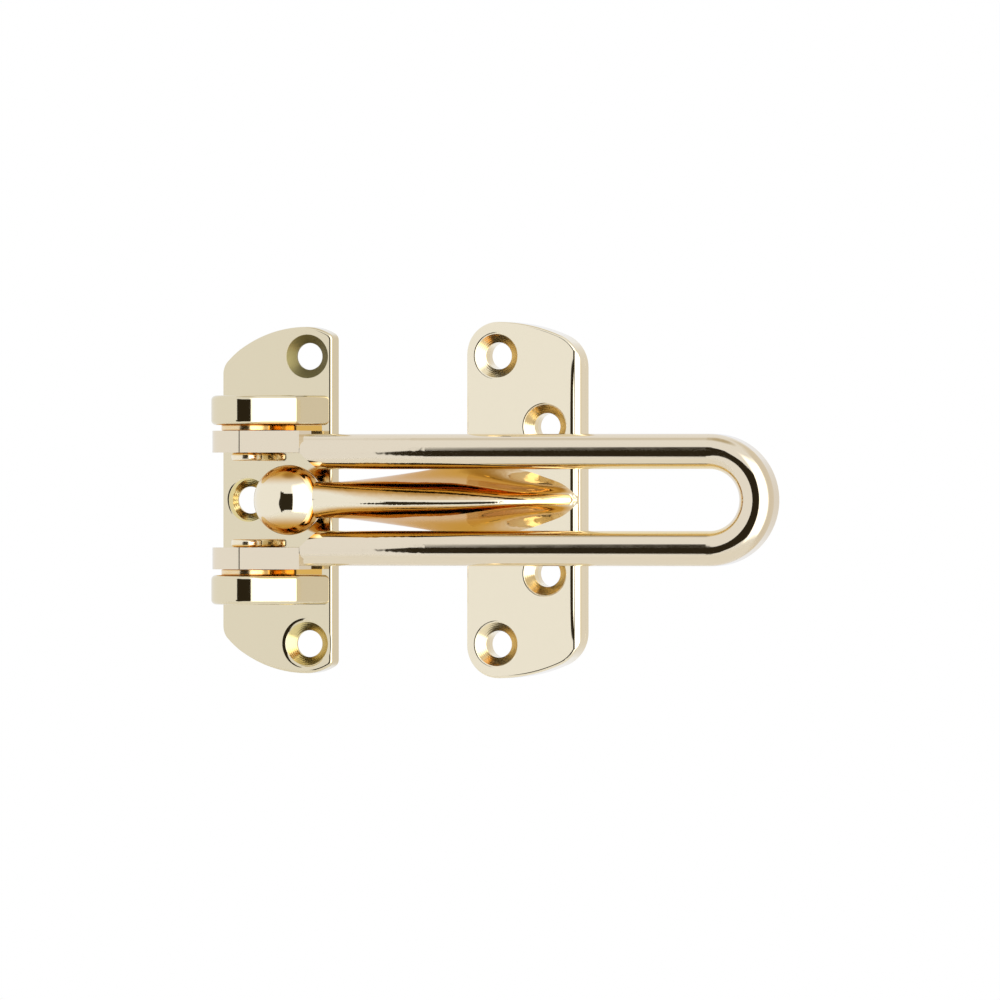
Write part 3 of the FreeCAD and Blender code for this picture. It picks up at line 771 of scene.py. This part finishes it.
@dataclass
class HingeHardware:
    """Two rivets and two washers on the hinge axis, each pair turned by one node tree."""

    axis_across: float = -9.4 * MM
    axis_along: float = -11.4 * MM
    head: TurnedRing = TurnedRing(
        inner=0.0, outer=2.85 * MM, low=7.3 * MM, high=8.75 * MM, edge_round=0.5 * MM)
    shank: TurnedRing = TurnedRing(
        inner=0.0, outer=2.0 * MM, low=8.75 * MM, high=19.4 * MM, edge_round=0.02 * MM)
    washer: TurnedRing = TurnedRing(
        inner=2.05 * MM, outer=4.7 * MM, low=12.9 * MM, high=13.9 * MM, edge_round=0.12 * MM)
    roughness: float = 0.18
    steps_round: int = 96
    steps_edge: int = 6
    sharp_angle: float = math.radians(40.0)
    weld_distance: float = 0.0005 * MM

    def turning_tree(self) -> Tree:
        """Build the node tree that turns a ring and its mirror image below.

        Returns:
            The node tree, whose inputs are the ring's sizes and its material.
        """
        tree = bpy.data.node_groups.new("turned_pair", "GeometryNodeTree")
        tree.interface.new_socket(name="Geometry", in_out="INPUT", socket_type="NodeSocketGeometry")
        for name in ("Inner", "Outer", "Low", "High", "Edge Round"):
            tree.interface.new_socket(name=name, in_out="INPUT", socket_type="NodeSocketFloat")
        tree.interface.new_socket(name="Material", in_out="INPUT", socket_type="NodeSocketMaterial")
        tree.interface.new_socket(name="Geometry", in_out="OUTPUT", socket_type="NodeSocketGeometry")
        sizes = add_node(tree, "NodeGroupInput").outputs

        # Profile about the circle that carries it: outwards from that circle, and downwards
        total = add_node(tree, "ShaderNodeMath", {
            0: sizes["Inner"], 1: sizes["Outer"]}, operation="ADD").outputs[0]
        middle = add_node(tree, "ShaderNodeMath", {0: total, 1: 0.5}, operation="MULTIPLY").outputs[0]
        back, out = (
            add_node(tree, "ShaderNodeMath", {0: sizes[name], 1: middle}, operation="SUBTRACT").outputs[0]
            for name in ("Inner", "Outer"))
        foot, top = (
            add_node(tree, "ShaderNodeMath", {0: sizes[name], 1: -1.0}, operation="MULTIPLY").outputs[0]
            for name in ("Low", "High"))
        corners = [add_node(tree, "ShaderNodeCombineXYZ", {"X": across, "Y": down}).outputs["Vector"]
                   for across, down in ((back, foot), (out, foot), (out, top), (back, top))]
        profile = add_node(tree, "GeometryNodeCurvePrimitiveQuadrilateral", {
            f"Point {place + 1}": corner for place, corner in enumerate(corners)}, mode="POINTS")
        spot = add_node(tree, "GeometryNodeInputPosition").outputs["Position"]
        spot_across = add_node(tree, "ShaderNodeSeparateXYZ", {"Vector": spot}).outputs["X"]
        is_outer = add_node(tree, "ShaderNodeMath", {
            0: spot_across, 1: 0.0}, operation="GREATER_THAN").outputs[0]
        radius = add_node(tree, "ShaderNodeMath", {
            0: is_outer, 1: sizes["Edge Round"]}, operation="MULTIPLY").outputs[0]
        rounded = add_node(tree, "GeometryNodeFilletCurve", {
            "Curve": profile.outputs["Curve"], "Radius": radius, "Count": self.steps_edge}, mode="POLY")

        # Turn the profile round the axis, then set it up above and down below the middle
        circle = add_node(tree, "GeometryNodeCurvePrimitiveCircle", {
            "Resolution": self.steps_round, "Radius": middle}, mode="RADIUS")
        turned = add_node(tree, "GeometryNodeCurveToMesh", {
            "Curve": circle.outputs["Curve"], "Profile Curve": rounded.outputs["Curve"]})
        points = add_node(tree, "GeometryNodePoints", {
            "Count": 2, "Position": (self.axis_across, self.axis_along, 0.0)})
        number = add_node(tree, "GeometryNodeInputIndex").outputs["Index"]
        half_turn = add_node(tree, "ShaderNodeMath", {
            0: number, 1: math.pi}, operation="MULTIPLY").outputs[0]
        turn = add_node(tree, "ShaderNodeCombineXYZ", {"X": half_turn}).outputs["Vector"]
        pair = add_node(tree, "GeometryNodeInstanceOnPoints", {
            "Points": points.outputs[0], "Instance": turned.outputs["Mesh"], "Rotation": turn})
        joined = add_node(tree, "GeometryNodeJoinGeometry", {"Geometry": pair.outputs["Instances"]})
        tree.links.new(sizes["Geometry"], joined.inputs["Geometry"])
        real = add_node(tree, "GeometryNodeRealizeInstances", {"Geometry": joined.outputs["Geometry"]})
        finished = add_node(tree, "GeometryNodeSetMaterial", {
            "Geometry": real.outputs["Geometry"], "Material": sizes["Material"]})
        add_node(tree, "NodeGroupOutput", {"Geometry": finished.outputs["Geometry"]})
        return tree

    def turn_piece(self, name: str, rings: tuple[TurnedRing, ...], replaced: tuple[str, ...],
                   tree: Tree) -> None:
        """Turn one piece out of its rings and put it in the place of its solids.

        Args:
            name: Name of the piece.
            rings: Rings that the piece is made of.
            replaced: Nodes that the piece stands for.
            tree: Node tree that turns a ring.
        """
        piece = bpy.data.objects.new(name, bpy.data.meshes.new(name))
        bpy.context.scene.collection.objects.link(piece)
        # The painted deeper gold reflection in the corners and the slot comes with this finish
        material = PolishedBrass(name="satin_brass_" + name, roughness=self.roughness).build()
        sockets = {item.name: item.identifier for item in tree.interface.items_tree
                   if item.in_out == "INPUT"}
        for ring in rings:
            modifier = piece.modifiers.new("turning", "NODES")
            modifier.node_group = tree
            modifier[sockets["Inner"]] = ring.inner
            modifier[sockets["Outer"]] = ring.outer
            modifier[sockets["Low"]] = ring.low
            modifier[sockets["High"]] = ring.high
            modifier[sockets["Edge Round"]] = ring.edge_round
            modifier[sockets["Material"]] = material
        graph = bpy.context.evaluated_depsgraph_get()
        mesh = bpy.data.meshes.new_from_object(piece.evaluated_get(graph))
        piece.modifiers.clear()
        piece.data = mesh
        shape = bmesh.new()
        shape.from_mesh(mesh)
        bmesh.ops.remove_doubles(shape, verts=shape.verts, dist=self.weld_distance)
        bmesh.ops.recalc_face_normals(shape, faces=shape.faces)
        shape.to_mesh(mesh)
        shape.free()
        mesh.shade_smooth()
        mesh.set_sharp_from_angle(angle=self.sharp_angle)
        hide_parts(*replaced)
        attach(piece, Body.PLATES.value)
        LOG.info("turned %s: %d faces, for %s", name, len(mesh.polygons), ", ".join(replaced))

    def build(self) -> None:
        """Turn the rivets and the washers."""
        tree = self.turning_tree()
        self.turn_piece("hinge_rivets", (self.head, self.shank),
                        ("upper_hinge_pin", "lower_hinge_pin"), tree)
        self.turn_piece("hinge_washers", (self.washer,), ("upper_washer", "lower_washer"), tree)


def main() -> None:
    """Build the studio and dress every piece."""
    logging.basicConfig(level=logging.INFO)
    Studio().build()
    HingeBase().dress()
    Keeper().dress()
    SwingBar().dress()
    HingeHardware().build()


if __name__ == "__main__":
    main()
